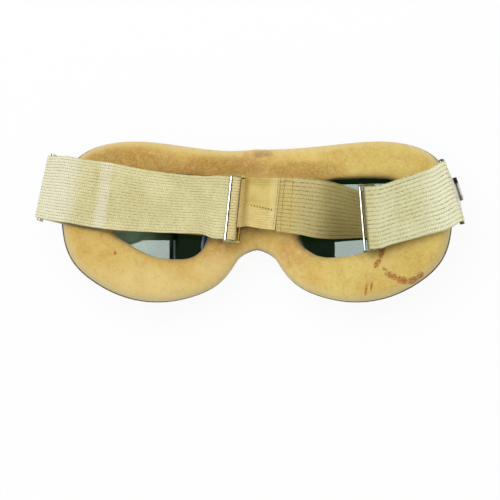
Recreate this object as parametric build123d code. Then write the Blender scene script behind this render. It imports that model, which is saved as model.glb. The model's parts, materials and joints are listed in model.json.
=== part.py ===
from build123d import *
import os
from math import atan, cos, degrees, radians, sin, sqrt

# Aviator flying goggles, lying lens-down with the head strap folded over the face pad.
# Millimetres. +X is the wearer's right, +Y is towards the brow, +Z is towards the wearer's face.
# Each half is built flat, in its own frame, and then tilted about the nose hinge.

# Overall arrangement
wrap_angle = 7.0
eye_spacing_half = 52.0
eye_rise = 1.7
overrun = 30.0
running_gap = 0.05
seat_gap = 0.3

# Lens and what holds it
lens_half_width = 34.2
lens_half_height = 26.2
lens_thickness = 2.2
rim_front_radius = 97.0
rim_lip = 1.25
rim_depth = 7.0
rim_wall = 1.1
rim_cover = 1.4
gasket_wall = 0.7
gasket_face = 0.45
rim_front_drop = 8.0

# Eye cup
cup_wall = 0.8
flange_height = 9.0
flange_thickness = 1.0
flange_width = 5.0
vent_count = 5
vent_length = 6.0
vent_height = 2.6
vent_pitch = 9.0
vent_gap_below_flange = 1.6
gauze_thickness = 0.35
gauze_lap = 1.0
gauze_end_lap = 1.5

# Clamp that closes the split rim at the temple
clamp_rise = 4.8
clamp_split = 1.0
clamp_lug_length = 4.0
clamp_lug_thickness = 2.0
clamp_lug_height = 4.0
clamp_lug_base = 1.0
clamp_screw_radius = 0.9
clamp_head_radius = 1.7
clamp_head_height = 1.2
clamp_nut_radius = 1.9
clamp_nut_height = 1.4
slot_width = 0.5
slot_depth = 0.5

# Nose hinge
hinge_length = 15.0
hinge_rise = 6.0
knuckle_radius = 2.0
knuckle_count = 3
knuckle_gap = 0.12
hinge_pin_radius = 1.0
leaf_thickness = 1.2
hinge_head_radius = 1.8
hinge_head_height = 1.1
hinge_nut_radius = 1.9
hinge_nut_height = 1.5

# Face pad
pad_temple_margin = 14.4
pad_brow_margin = 12.9
pad_cheek_margin = 15.4
pad_thickness = 11.0
pad_edge_round = 5.0
pad_opening_round = 5.5
pad_base_round = 1.6
sponge_base_round = 1.2
opening_side_inset = 6.5
opening_top_inset = 5.9
facing_thickness = 1.0
backing_thickness = 1.2
backing_margin = 0.4
bridge_half_width = 9.0
opening_search_margin = 2.0

# Temple arm and the screw that carries the strap loop
arm_gap = 1.0
arm_rise = 15.9
arm_thickness = 1.1
left_lean = 12.0
right_lean = 18.0
barrel_length = 5.2
barrel_radius = 2.0
arm_rivet_radius = 0.7
arm_rivet_head_radius = 1.2
arm_rivet_head_height = 0.5
arm_rivet_spacing = 2.8
pivot_radius = 1.0
knob_radius = 1.75
knob_length = 3.2
ear_clearance = 0.6
knob_grooves = 12
knob_groove_depth = 0.3
collar_radius = 1.6
collar_length = 1.0

# Strap loop
loop_thickness = 1.3
loop_side_width = 1.0
loop_bar_radius = 0.8
loop_slot_height = 4.5
loop_slot_play = 0.3
loop_ear_length = 1.2
loop_neck_height = 3.4
left_loop_angle = 17.0
right_loop_angle = -14.0

# Head strap
webbing_width = 31.75
webbing_thickness = 1.2
tape_width = 26.0
tape_thickness = 1.1
strap_clearance = 0.3
strap_sag = 4.2
strap_flat_inset = 12.6
layer_gap = 0.3
bend_tail = 1.4
left_run_end = 2.0
right_run_end = 12.0
tape_left_end = -7.4
tape_right_end = 19.6
left_run_end_rise = 8.5
right_run_end_rise = 8.5
tape_left_rise = 9.1
tape_right_rise = 8.2
join_lean_left = -5.8
join_lean_right = -4.7
strap_station_count = 16
strap_slope_step = 0.3

# Slides
slide_bar_radius = 0.75
slide_bar_spacing = 3.4
slide_side_width = 1.0
slide_play = 0.3
slide_tail = 2.0
left_slide_x = -11.3
left_slide_rise = 6.3
left_slide_yaw = -5.8
right_slide_x = 56.4
right_slide_rise = 1.4
right_slide_yaw = 4.7

# Outline of one eye, as shares of its half width and half height, with corner radii
eye_outline_shares = (
    (-1.0, 0.95, 0.49),
    (1.02, 1.0, 0.64),
    (1.0, -0.35, 0.985),
    (0.25, -1.02, 1.72),
    (-0.72, -1.02, 0.64),
    (-1.0, -0.5, 0.79),
)
# Outline of one half of the pad, from the nose line along the brow and back under the cheek, as
# shares of its sizes
brow_outline_shares = (
    (0.0, 0.892),
    (0.306, 0.917),
    (0.588, 1.0),
    (0.789, 0.958),
    (0.9135, 0.804),
    (0.989, 0.495),
    (1.0, 0.098),
)
cheek_outline_shares = (
    (0.949, -0.469),
    (0.829, -0.759),
    (0.669, -0.947),
    (0.509, -1.0),
    (0.347, -0.932),
    (0.226, -0.794),
    (0.144, -0.581),
    (0.104, -0.436),
    (0.063, -0.366),
    (0.0, -0.324),
)

# Places worked out from the sizes above
wrap_sin = sin(radians(wrap_angle))
wrap_cos = cos(radians(wrap_angle))
pad_half_width = eye_spacing_half + lens_half_width + pad_temple_margin
pad_brow_height = eye_rise + lens_half_height + pad_brow_margin
pad_cheek_depth = lens_half_height - eye_rise + pad_cheek_margin
opening_half_width = lens_half_width - opening_side_inset
opening_half_height = lens_half_height - opening_top_inset
arm_reach = pad_half_width + arm_gap
strap_flat_reach = pad_half_width - strap_flat_inset
curve_height = rim_front_radius - rim_front_drop
hinge_height = rim_front_radius - eye_spacing_half * wrap_sin - curve_height * wrap_cos
lip_radius = rim_front_radius - rim_lip
lens_front_radius = lip_radius - running_gap - gasket_face
lens_back_radius = lens_front_radius - lens_thickness
gasket_back_radius = lens_back_radius - gasket_face
rim_back_radius = rim_front_radius - rim_depth
rim_inner_grow = gasket_wall + running_gap
rim_outer_grow = rim_inner_grow + rim_wall
aperture_grow = -rim_cover
cup_outer_grow = gasket_wall
cup_seat_radius = gasket_back_radius - seat_gap
cup_inner_grow = cup_outer_grow - cup_wall
flange_outer_grow = cup_outer_grow + flange_width
pad_base = flange_height + backing_thickness
pad_top = pad_base + pad_thickness
pivot_local_height = flange_height - flange_thickness - barrel_radius
pivot_local_x = (arm_reach + pivot_local_height * wrap_sin) / wrap_cos
pivot_height = hinge_height + pivot_local_x * wrap_sin + pivot_local_height * wrap_cos
bend_inner_radius = loop_bar_radius + running_gap
bend_outer_radius = bend_inner_radius + webbing_thickness
crown_height = hinge_height + pad_half_width * wrap_sin + pad_top * wrap_cos - pad_edge_round * wrap_sin
left_bar_height = crown_height + strap_clearance + bend_outer_radius
loop_length = (left_bar_height - pivot_height) / cos(radians(left_loop_angle))
right_bar_height = pivot_height + loop_length * cos(radians(right_loop_angle))
left_bar_swing = loop_length * sin(radians(left_loop_angle))
right_bar_swing = loop_length * sin(radians(right_loop_angle))
left_bar_x = -arm_reach - left_bar_swing * cos(radians(left_lean))
left_bar_rise = arm_rise + left_bar_swing * sin(radians(left_lean))
right_bar_x = arm_reach + right_bar_swing * cos(radians(right_lean))
right_bar_rise = arm_rise + right_bar_swing * sin(radians(right_lean))
slide_ring_inner = slide_bar_radius + running_gap
slide_ring_outer = slide_ring_inner + webbing_thickness
slide_half_span = slide_bar_spacing + slide_bar_radius
slide_half_width = webbing_width / 2 + slide_play

tilt = Pos(0, 0, hinge_height) * Rot(0, -wrap_angle, 0)


def eye_face(half_width, half_height):
    corners = [
        (eye_spacing_half + across * half_width, eye_rise + up * half_height)
        for across, up, corner in eye_outline_shares
    ]
    radii = [corner * half_height for across, up, corner in eye_outline_shares]
    return make_face(FilletPolyline(*corners, radius=radii, close=True))


def eye_prism(grow, low, high):
    """A prism over the lens outline, grown by an amount, between two heights."""
    face = eye_face(lens_half_width + grow, lens_half_height + grow)
    return Pos(0, 0, low) * extrude(face, high - low)


def drum(radius):
    """The cylinder that the lens is bent round, with its axis along the brow-to-cheek line."""
    length = (lens_half_height + flange_outer_grow + overrun) * 2
    return Pos(eye_spacing_half, eye_rise, curve_height) * Rot(90, 0, 0) * Cylinder(radius, length)


def drum_shell(outer_radius, inner_radius):
    return drum(outer_radius) - drum(inner_radius)


def block(x_low, x_high, y_low, y_high, z_low, z_high):
    size = (x_high - x_low, y_high - y_low, z_high - z_low)
    middle = ((x_high + x_low) / 2, (y_high + y_low) / 2, (z_high + z_low) / 2)
    return Pos(*middle) * Box(*size)


def rod_along_y(radius, y_low, y_high):
    return Pos(0, (y_low + y_high) / 2, 0) * Rot(90, 0, 0) * Cylinder(radius, y_high - y_low)


def hexagon_along_y(radius, y_low, y_high):
    face = RegularPolygon(radius, 6)
    return Pos(0, y_high, 0) * Rot(90, 0, 0) * extrude(face, y_high - y_low)


def slotted_head(radius, y_low, y_high):
    head = rod_along_y(radius, y_low, y_high)
    slot = block(-radius, radius, y_high - slot_depth, y_high + slot_depth, -slot_width / 2, slot_width / 2)
    return head - slot


def lens():
    body = eye_prism(0, -overrun, overrun)
    return body & drum_shell(lens_front_radius, lens_back_radius)


def lens_gasket():
    outer = eye_prism(gasket_wall, -overrun, overrun)
    window = eye_prism(aperture_grow, -overrun, overrun)
    ring = (outer - window) & drum_shell(lens_front_radius + gasket_face, gasket_back_radius)
    return ring - lens()


def clamp_middle():
    return eye_rise + clamp_rise


def clamp_axis_x():
    return eye_spacing_half + lens_half_width + rim_outer_grow + clamp_lug_length / 2


def clamp_axis_z():
    return clamp_lug_base + clamp_lug_height / 2


def lens_rim():
    outer = eye_prism(rim_outer_grow, -overrun, overrun)
    window = eye_prism(aperture_grow, -overrun, overrun)
    groove = eye_prism(rim_inner_grow, -overrun, overrun)
    ring = (outer - window) & drum_shell(rim_front_radius, rim_back_radius)
    ring = ring - (groove & drum(lip_radius))
    middle = clamp_middle()
    edge = eye_spacing_half + lens_half_width + rim_outer_grow
    top = clamp_lug_base + clamp_lug_height
    half_split = clamp_split / 2
    for side in (-1, 1):
        near = middle + side * half_split
        far = near + side * clamp_lug_thickness
        lug = block(
            edge - clamp_lug_length,
            edge + clamp_lug_length,
            min(near, far),
            max(near, far),
            clamp_lug_base,
            top,
        )
        lug = lug - (groove & drum(lip_radius))
        ring = ring + lug
    slit = block(
        edge - clamp_lug_length,
        edge + overrun,
        middle - half_split,
        middle + half_split,
        -overrun,
        overrun,
    )
    bore = Pos(clamp_axis_x(), middle, clamp_axis_z()) * rod_along_y(
        clamp_screw_radius + running_gap, -overrun, overrun
    )
    return ring - slit - bore


def clamp_screw():
    reach = clamp_split / 2 + clamp_lug_thickness
    shank = rod_along_y(clamp_screw_radius, -reach - clamp_nut_height, reach + clamp_head_height / 2)
    head = slotted_head(clamp_head_radius, reach, reach + clamp_head_height)
    return Pos(clamp_axis_x(), clamp_middle(), clamp_axis_z()) * (shank + head)


def clamp_nut():
    reach = clamp_split / 2 + clamp_lug_thickness
    nut = hexagon_along_y(clamp_nut_radius, -reach - clamp_nut_height, -reach)
    nut = nut - rod_along_y(clamp_screw_radius, -overrun, overrun)
    return Pos(clamp_axis_x(), clamp_middle(), clamp_axis_z()) * nut


def vent_tool(index):
    """One vent slot, cut through the brow wall and the cheek wall alike."""
    middle = eye_spacing_half + (index - (vent_count - 1) / 2) * vent_pitch
    top = flange_height - flange_thickness - vent_gap_below_flange
    reach = lens_half_height + flange_outer_grow
    return block(
        middle - vent_length / 2,
        middle + vent_length / 2,
        eye_rise - reach,
        eye_rise + reach,
        top - vent_height,
        top,
    )


def eye_cup():
    flange_base = flange_height - flange_thickness
    inner = eye_prism(cup_inner_grow, -overrun, overrun)
    wall = eye_prism(cup_outer_grow, -overrun, flange_height) - inner
    wall = wall & drum(cup_seat_radius)
    for index in range(vent_count):
        wall = wall - vent_tool(index)
    flange = eye_prism(flange_outer_grow, flange_base, flange_height) - inner
    cup = wall + flange
    for place in arm_rivet_places():
        cup = cup - Pos(*place, 0) * Cylinder(arm_rivet_radius, overrun)
    return cup


def vent_gauze():
    """Two strips of gauze inside the cup wall, one behind each row of vents."""
    outer_grow = cup_inner_grow - running_gap
    top = flange_height - flange_thickness - vent_gap_below_flange
    half_span = ((vent_count - 1) * vent_pitch + vent_length) / 2 + gauze_end_lap
    low = top - vent_height - gauze_lap
    high = top + gauze_lap
    ring = eye_prism(outer_grow, low, high)
    ring = ring - eye_prism(outer_grow - gauze_thickness, low - overrun, high + overrun)
    reach = lens_half_height + flange_outer_grow
    keep = block(
        eye_spacing_half - half_span,
        eye_spacing_half + half_span,
        eye_rise - reach,
        eye_rise + reach,
        low,
        high,
    )
    return ring & keep


def hinge_knuckles(first):
    """The stations of one leaf's knuckles; the two leaves take turns along the pin."""
    knuckle = hinge_length / knuckle_count
    low = hinge_rise - hinge_length / 2
    stations = [(low + knuckle * index, low + knuckle * (index + 1)) for index in range(knuckle_count)]
    return stations[0::2] if first else stations[1::2]


def hinge_leaf(first):
    low = hinge_rise - hinge_length / 2
    high = hinge_rise + hinge_length / 2
    half_leaf = leaf_thickness / 2
    clear_of_barrel = knuckle_radius + seat_gap
    edge = eye_spacing_half - lens_half_width - rim_outer_grow - running_gap
    leaf = block(clear_of_barrel, edge, low, high, -half_leaf, half_leaf)
    for y_low, y_high in hinge_knuckles(first):
        y_low = y_low + knuckle_gap / 2
        y_high = y_high - knuckle_gap / 2
        leaf = leaf + rod_along_y(knuckle_radius, y_low, y_high)
        leaf = leaf + block(0, clear_of_barrel + half_leaf, y_low, y_high, -half_leaf, half_leaf)
    return leaf - rod_along_y(hinge_pin_radius + running_gap, -overrun, overrun)


def hinge_pin():
    low = hinge_rise - hinge_length / 2
    high = hinge_rise + hinge_length / 2
    shank = rod_along_y(hinge_pin_radius, low - hinge_nut_height, high + hinge_head_height / 2)
    return shank + slotted_head(hinge_head_radius, high, high + hinge_head_height)


def hinge_nut():
    low = hinge_rise - hinge_length / 2
    nut = hexagon_along_y(hinge_nut_radius, low - hinge_nut_height, low)
    return nut - rod_along_y(hinge_pin_radius, -overrun, overrun)


def pad_points():
    """The pad's outline, clockwise from the middle of the brow, mirrored about the nose line."""
    brow = [(across * pad_half_width, up * pad_brow_height) for across, up in brow_outline_shares]
    cheek = [(across * pad_half_width, up * pad_cheek_depth) for across, up in cheek_outline_shares]
    right = brow + cheek
    left = [(-x, y) for x, y in reversed(right) if x > 0]
    return right + left


def pad_face(grow):
    """The face inside the pad's outline, moved outwards by an amount."""
    points = pad_points()
    moved = []
    for index, (x, y) in enumerate(points):
        before = points[index - 1]
        after = points[(index + 1) % len(points)]
        along_x = after[0] - before[0]
        along_y = after[1] - before[1]
        length = sqrt(along_x * along_x + along_y * along_y)
        moved.append((x - grow * along_y / length, y + grow * along_x / length))
    return make_face(Spline(*moved, periodic=True))


def opening_face(grow):
    return eye_face(opening_half_width + grow, opening_half_height + grow)


def pad_slab(inset, low, high, edge_round, opening_round, base_round):
    """A pad layer: its hem is drawn in, its wearer-side edge is crowned, its openings are rolled over."""
    height = high - low
    slab = extrude(pad_face(-inset), height)
    slab = fillet([edge for edge in slab.edges() if edge.center().Z < running_gap], base_round)
    slab = fillet([edge for edge in slab.edges() if edge.center().Z > height - running_gap], edge_round)
    hole = extrude(opening_face(inset), height)
    slab = slab - hole - hole.mirror(Plane.YZ)
    rim = [edge for edge in slab.edges() if edge.center().Z > height - running_gap and on_opening(edge)]
    return Pos(0, 0, low) * fillet(rim, opening_round)


def on_opening(edge):
    """Whether an edge lies on the rim of an eye opening, on either side of the nose."""
    middle = edge.center()
    across = abs(abs(middle.X) - eye_spacing_half) / opening_half_width
    up = abs(middle.Y - eye_rise) / opening_half_height
    reach = 1 + opening_search_margin / opening_half_height
    return edge.length < pad_half_width and across < reach and up < reach


def pad_piece(local_form, x_low, x_high):
    """The stretch of a tilted pad layer between two upright planes."""
    whole = tilt * local_form
    reach = pad_half_width + overrun
    return whole & block(x_low, x_high, -reach, reach, -reach, reach)


def arm_rivet_places():
    edge = eye_spacing_half + lens_half_width + cup_outer_grow + flange_width / 2
    return [(edge, arm_rise + step * arm_rivet_spacing / 2) for step in (-1, 1)]


def pivot_place(lean):
    return Pos(arm_reach, arm_rise, pivot_height) * Rot(0, 0, lean)


def temple_arm(lean):
    """The arm runs under the flange and ends in the barrel, whose axis leans with the pad's edge."""
    underside = flange_height - flange_thickness
    start = eye_spacing_half + lens_half_width + rim_outer_grow + seat_gap
    half_barrel = barrel_length / 2
    strip = block(
        start,
        pivot_local_x,
        arm_rise - half_barrel,
        arm_rise + half_barrel,
        underside - arm_thickness,
        underside,
    )
    for place in arm_rivet_places():
        strip = strip - Pos(*place, 0) * Cylinder(arm_rivet_radius, overrun)
    barrel = rod_along_y(barrel_radius, -half_barrel, half_barrel)
    bore = rod_along_y(pivot_radius + running_gap, -overrun, overrun)
    ear_room = rod_along_y(barrel_radius + ear_clearance, -overrun, -half_barrel)
    ear_room = ear_room + rod_along_y(barrel_radius + ear_clearance, half_barrel, overrun)
    return tilt * strip + pivot_place(lean) * barrel - pivot_place(lean) * (bore + ear_room)


def arm_rivets():
    underside = flange_height - flange_thickness - arm_thickness
    rivets = None
    for place in arm_rivet_places():
        shank_height = flange_height - underside
        shank = Pos(*place, underside + shank_height / 2) * Cylinder(arm_rivet_radius, shank_height)
        head = Pos(*place, underside - arm_rivet_head_height / 2) * Cylinder(
            arm_rivet_head_radius, arm_rivet_head_height
        )
        rivets = shank + head if rivets is None else rivets + shank + head
    return rivets


def loop_neck_half():
    return barrel_length / 2 + knuckle_gap + loop_ear_length


def pivot_screw(lean):
    """A screw with a knurled head, the pivot of the strap loop."""
    reach = loop_neck_half() + running_gap
    shank = rod_along_y(pivot_radius, -reach - collar_length, reach + knob_length / 2)
    knob = rod_along_y(knob_radius, reach, reach + knob_length)
    groove = Pos(knob_radius, 0, 0) * rod_along_y(knob_groove_depth, reach, reach + knob_length)
    for index in range(knob_grooves):
        knob = knob - Rot(0, 360 * index / knob_grooves, 0) * groove
    return pivot_place(lean) * (shank + knob)


def pivot_collar(lean):
    reach = loop_neck_half() + running_gap
    collar = rod_along_y(collar_radius, -reach - collar_length, -reach)
    return pivot_place(lean) * (collar - rod_along_y(pivot_radius, -overrun, overrun))


def strap_loop(lean, angle):
    """A stamped plate: two ears on the screw, a neck, shoulders, and a bar for the webbing."""
    neck = loop_neck_half()
    slot_half = webbing_width / 2 + loop_slot_play
    outer = slot_half + loop_side_width
    slot_low = loop_length - loop_slot_height
    shoulder = slot_low - loop_side_width / 2
    outline = Polyline(
        (-neck, 0),
        (-neck, loop_neck_height),
        (-outer, shoulder),
        (-outer, loop_length),
        (outer, loop_length),
        (outer, shoulder),
        (neck, loop_neck_height),
        (neck, 0),
        close=True,
    )
    plate = extrude(Plane.YZ * make_face(outline), loop_thickness / 2, both=True)
    plate = plate - block(-overrun, overrun, -slot_half, slot_half, slot_low, loop_length + overrun)
    plate = plate + Pos(0, 0, loop_length) * rod_along_y(loop_bar_radius, -outer, outer)
    ear_low = neck - loop_ear_length
    for side in (-1, 1):
        near = min(side * ear_low, side * neck)
        far = max(side * ear_low, side * neck)
        plate = plate + rod_along_y(barrel_radius, near, far)
    room = rod_along_y(barrel_radius + seat_gap, -ear_low, ear_low)
    plate = plate - room - block(-overrun, overrun, -ear_low, ear_low, -overrun, 0)
    bore = rod_along_y(pivot_radius + running_gap, -overrun, overrun)
    return pivot_place(lean) * Rot(0, angle, 0) * (plate - bore)


def strap_level(x):
    """The height of the underside of the lower webbing."""
    left_level = left_bar_height - bend_outer_radius
    right_level = right_bar_height - bend_outer_radius
    if x <= -strap_flat_reach:
        return left_level
    if x >= strap_flat_reach:
        return right_level
    share = x / strap_flat_reach
    return left_level + (right_level - left_level) * (1 + share) / 2 - strap_sag * (1 - share * share)


def strap_slope(x):
    rise = strap_level(x + strap_slope_step) - strap_level(x - strap_slope_step)
    return rise / (2 * strap_slope_step)


def strap_stations(x_low, x_high):
    shares = [2 * index / strap_station_count - 1 for index in range(strap_station_count + 1)]
    breaks = [strap_flat_reach * share for share in shares]
    return [x_low] + [x for x in breaks if x_low < x < x_high] + [x_high]


def web_sheet(centres, width, rise, thickness):
    """Webbing over the pad: a plan outline, cut from a sheet that follows the strap's level.

    Each centre is x, y and the lean of the line across the webbing there.
    """
    near = [across_point(centre, -width / 2) for centre in centres]
    far = [across_point(centre, width / 2) for centre in centres]
    plan = make_face(Polyline(*near, *reversed(far), close=True))
    reach = pad_half_width
    x_low = min(point[0] for point in near + far) - overrun
    x_high = max(point[0] for point in near + far) + overrun
    low = [(x, strap_level(x) + rise(x)) for x in strap_stations(x_low, x_high)]
    high = [(x, z + thickness) for x, z in low]
    profile = make_face(Polyline(*low, *reversed(high), close=True))
    sheet = Rot(90, 0, 0) * extrude(profile, reach, both=True)
    return sheet & extrude(plan, reach)


def across_point(centre, distance):
    x, y, lean = centre
    return (x - distance * sin(radians(lean)), y + distance * cos(radians(lean)))


def bend_end(bar_x, bar_rise, lean, side):
    """The centre of the webbing's end at a loop, where the turn round the bar begins."""
    inset = bend_tail + running_gap
    x = bar_x - side * inset * cos(radians(lean))
    return (x, bar_rise - inset * sin(radians(lean)), side * lean)


def left_run():
    start = bend_end(left_bar_x, left_bar_rise, left_lean, -1)
    middle = (left_slide_x, left_slide_rise, left_slide_yaw)
    end = (left_run_end, left_run_end_rise, join_lean_left)
    return web_sheet([start, middle, end], webbing_width, lambda x: 0, webbing_thickness)


def right_run():
    start = (right_run_end, right_run_end_rise, join_lean_right)
    middle = (right_slide_x, right_slide_rise, right_slide_yaw)
    end = bend_end(right_bar_x, right_bar_rise, right_lean, 1)
    return web_sheet([start, middle, end], webbing_width, lambda x: 0, webbing_thickness)


def centre_tape():
    start = (tape_left_end, tape_left_rise, join_lean_left)
    end = (tape_right_end, tape_right_rise, join_lean_right)
    return web_sheet([start, end], tape_width, lambda x: webbing_thickness, tape_thickness)


def top_rise(x, slide_edge, slide_rise):
    """How far the upper webbing's underside is above the lower webbing's underside."""
    loop_rise = webbing_thickness + 2 * bend_inner_radius
    share = (abs(x) - slide_edge) / (strap_flat_reach - slide_edge)
    share = min(1, max(0, share))
    return slide_rise + (loop_rise - slide_rise) * share


def slide_reach():
    return slide_half_span + slide_tail


def left_top():
    edge = slide_centre(left_slide_x, left_slide_rise, left_slide_yaw, -slide_reach() - layer_gap)
    start = bend_end(left_bar_x, left_bar_rise, left_lean, -1)
    rise = webbing_thickness + layer_gap
    return web_sheet(
        [start, edge], webbing_width, lambda x: top_rise(x, abs(edge[0]), rise), webbing_thickness
    )


def right_top():
    edge = slide_centre(right_slide_x, right_slide_rise, right_slide_yaw, slide_reach() + layer_gap)
    end = bend_end(right_bar_x, right_bar_rise, right_lean, 1)
    rise = webbing_thickness + layer_gap + webbing_thickness + 2 * slide_ring_inner
    return web_sheet(
        [edge, end], webbing_width, lambda x: top_rise(x, abs(edge[0]), rise), webbing_thickness
    )


def slide_centre(x, y, yaw, along):
    return (x + along * cos(radians(yaw)), y + along * sin(radians(yaw)), yaw)


def slide_place(x, y, yaw):
    """The middle bar of a slide, lying just over the lower webbing."""
    height = strap_level(x) + webbing_thickness + layer_gap + slide_ring_outer
    pitch = degrees(atan(strap_slope(x)))
    return Pos(x, y, height) * Rot(0, 0, yaw) * Rot(0, -pitch, 0)


def slide(x, y, yaw):
    """A slide of three bars between two side rails."""
    outer = slide_half_width + slide_side_width
    body = None
    for step in (-1, 0, 1):
        bar = Pos(step * slide_bar_spacing, 0, 0) * rod_along_y(slide_bar_radius, -outer, outer)
        body = bar if body is None else body + bar
    for side in (-1, 1):
        near = min(side * slide_half_width, side * outer)
        far = max(side * slide_half_width, side * outer)
        rail = block(-slide_half_span, slide_half_span, near, far, -slide_bar_radius, slide_bar_radius)
        body = body + rail
    return slide_place(x, y, yaw) * body


def webbing_fold(x, y, yaw, side):
    """The sewn end of the webbing: it wraps the middle bar and its tail leads away to one side."""
    half = webbing_width / 2
    ring = rod_along_y(slide_ring_outer, -half, half) - rod_along_y(slide_ring_inner, -half, half)
    wrap = ring & block(min(0, side * overrun), max(0, side * overrun), -half, half, -overrun, overrun)
    long_tail = slide_reach()
    short_tail = slide_bar_spacing - slide_bar_radius - seat_gap
    upper_tail, lower_tail = (short_tail, long_tail) if side > 0 else (long_tail, short_tail)
    upper_low = min(0, -side * upper_tail)
    upper_high = max(0, -side * upper_tail)
    lower_low = min(0, -side * lower_tail)
    lower_high = max(0, -side * lower_tail)
    upper = block(upper_low, upper_high, -half, half, slide_ring_inner, slide_ring_outer)
    lower = block(lower_low, lower_high, -half, half, -slide_ring_outer, -slide_ring_inner)
    return slide_place(x, y, yaw) * (wrap + upper + lower)


def webbing_bend(bar_x, bar_rise, bar_height, lean, side):
    """The webbing's turn round a loop's bar, with short tails towards the pad."""
    half = webbing_width / 2
    ring = rod_along_y(bend_outer_radius, -half, half) - rod_along_y(bend_inner_radius, -half, half)
    wrap = ring & block(min(0, side * overrun), max(0, side * overrun), -half, half, -overrun, overrun)
    near = min(0, -side * bend_tail)
    far = max(0, -side * bend_tail)
    upper = block(near, far, -half, half, bend_inner_radius, bend_outer_radius)
    lower = block(near, far, -half, half, -bend_outer_radius, -bend_inner_radius)
    return Pos(bar_x, bar_rise, bar_height) * Rot(0, 0, side * lean) * (wrap + upper + lower)


def mirrored(shape):
    return shape.mirror(Plane.YZ)


def pad_layers():
    """The pad's whole cushion, its sponge core and its backing, flat, before they are cut and tilted."""
    whole = pad_slab(0, pad_base, pad_top, pad_edge_round, pad_opening_round, pad_base_round)
    core = pad_slab(
        facing_thickness,
        pad_base,
        pad_top - facing_thickness,
        pad_edge_round - facing_thickness,
        pad_opening_round - facing_thickness,
        sponge_base_round,
    )
    hole = opening_face(facing_thickness)
    backing_face = pad_face(backing_margin) - hole - hole.mirror(Plane.YZ)
    backing = Pos(0, 0, flange_height) * extrude(backing_face, backing_thickness)
    return whole, core, backing


def pad_stretches():
    """Each layer of the pad as a right piece and a bridge piece; the facing wraps the sponge."""
    whole, core, backing = pad_layers()
    stretches = {}
    for place, x_low, x_high in (
        ("side", bridge_half_width, pad_half_width + overrun),
        ("bridge", 0, bridge_half_width),
    ):
        sponge = pad_piece(core, x_low, x_high)
        stretches[place] = {
            "facing": pad_piece(whole, x_low, x_high) - sponge,
            "sponge": sponge,
            "backing": pad_piece(backing, x_low, x_high),
        }
    return stretches


def build():
    nodes = {}
    eye_parts = {
        "lens": lens(),
        "lens_gasket": lens_gasket(),
        "lens_rim": lens_rim(),
        "clamp_screw": clamp_screw(),
        "clamp_nut": clamp_nut(),
        "eye_cup": eye_cup(),
        "vent_gauze": vent_gauze(),
        "arm_rivets": arm_rivets(),
    }
    for name, shape in eye_parts.items():
        nodes["right_" + name] = tilt * shape
        nodes["left_" + name] = mirrored(tilt * shape)
    for name, make in (
        ("temple_arm", temple_arm),
        ("pivot_screw", pivot_screw),
        ("pivot_collar", pivot_collar),
    ):
        nodes["right_" + name] = make(right_lean)
        nodes["left_" + name] = mirrored(make(left_lean))
    nodes["right_hinge_leaf"] = tilt * hinge_leaf(True)
    nodes["left_hinge_leaf"] = mirrored(tilt * hinge_leaf(False))
    nodes["hinge_pin"] = Pos(0, 0, hinge_height) * hinge_pin()
    nodes["hinge_nut"] = Pos(0, 0, hinge_height) * hinge_nut()
    nodes["right_strap_loop"] = strap_loop(right_lean, right_loop_angle)
    nodes["left_strap_loop"] = mirrored(strap_loop(left_lean, left_loop_angle))
    stretches = pad_stretches()
    for name, piece in stretches["side"].items():
        nodes["right_pad_" + name] = piece
        nodes["left_pad_" + name] = mirrored(piece)
    for name, piece in stretches["bridge"].items():
        nodes["bridge_pad_" + name] = piece + mirrored(piece)
    nodes["left_slide"] = slide(left_slide_x, left_slide_rise, left_slide_yaw)
    nodes["right_slide"] = slide(right_slide_x, right_slide_rise, right_slide_yaw)
    nodes["left_webbing_end"] = webbing_fold(left_slide_x, left_slide_rise, left_slide_yaw, 1)
    nodes["right_webbing_end"] = webbing_fold(right_slide_x, right_slide_rise, right_slide_yaw, -1)
    nodes["left_webbing_bend"] = webbing_bend(
        left_bar_x, left_bar_rise, left_bar_height, left_lean, -1
    )
    nodes["right_webbing_bend"] = webbing_bend(
        right_bar_x, right_bar_rise, right_bar_height, right_lean, 1
    )
    nodes["left_webbing_run"] = left_run()
    nodes["right_webbing_run"] = right_run()
    nodes["left_webbing_top"] = left_top()
    nodes["right_webbing_top"] = right_top()
    nodes["centre_tape"] = centre_tape()
    return nodes


def middle_of(nodes):
    """The point below the whole thing's middle, at the height that it stands on."""
    boxes = [shape.bounding_box() for shape in nodes.values()]
    x_middle = (min(box.min.X for box in boxes) + max(box.max.X for box in boxes)) / 2
    y_middle = (min(box.min.Y for box in boxes) + max(box.max.Y for box in boxes)) / 2
    return x_middle, y_middle, min(box.min.Z for box in boxes)


def main():
    nodes = build()
    x_middle, y_middle, z_low = middle_of(nodes)
    settle = Pos(-x_middle, -y_middle, -z_low)
    os.makedirs("parts", exist_ok=True)
    for name, shape in nodes.items():
        export_step(settle * shape, "parts/" + name + ".step")
    places = {
        "nose hinge": (0, 0, hinge_height),
        "right pivot": (arm_reach, arm_rise, pivot_height),
        "left pivot": (-arm_reach, arm_rise, pivot_height),
        "right loop bar": (right_bar_x, right_bar_rise, right_bar_height),
        "left loop bar": (left_bar_x, left_bar_rise, left_bar_height),
        "left slide": (left_slide_x, left_slide_rise, strap_level(left_slide_x)),
        "right slide": (right_slide_x, right_slide_rise, strap_level(right_slide_x)),
    }
    for name, (x, y, z) in places.items():
        print(name, round(x - x_middle, 4), round(y - y_middle, 4), round(z - z_low, 4))
    print("slide slopes", strap_slope(left_slide_x), strap_slope(right_slide_x))


main()
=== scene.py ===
import json
import math

import bmesh
import bpy
import numpy as np
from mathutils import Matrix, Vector, noise


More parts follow.
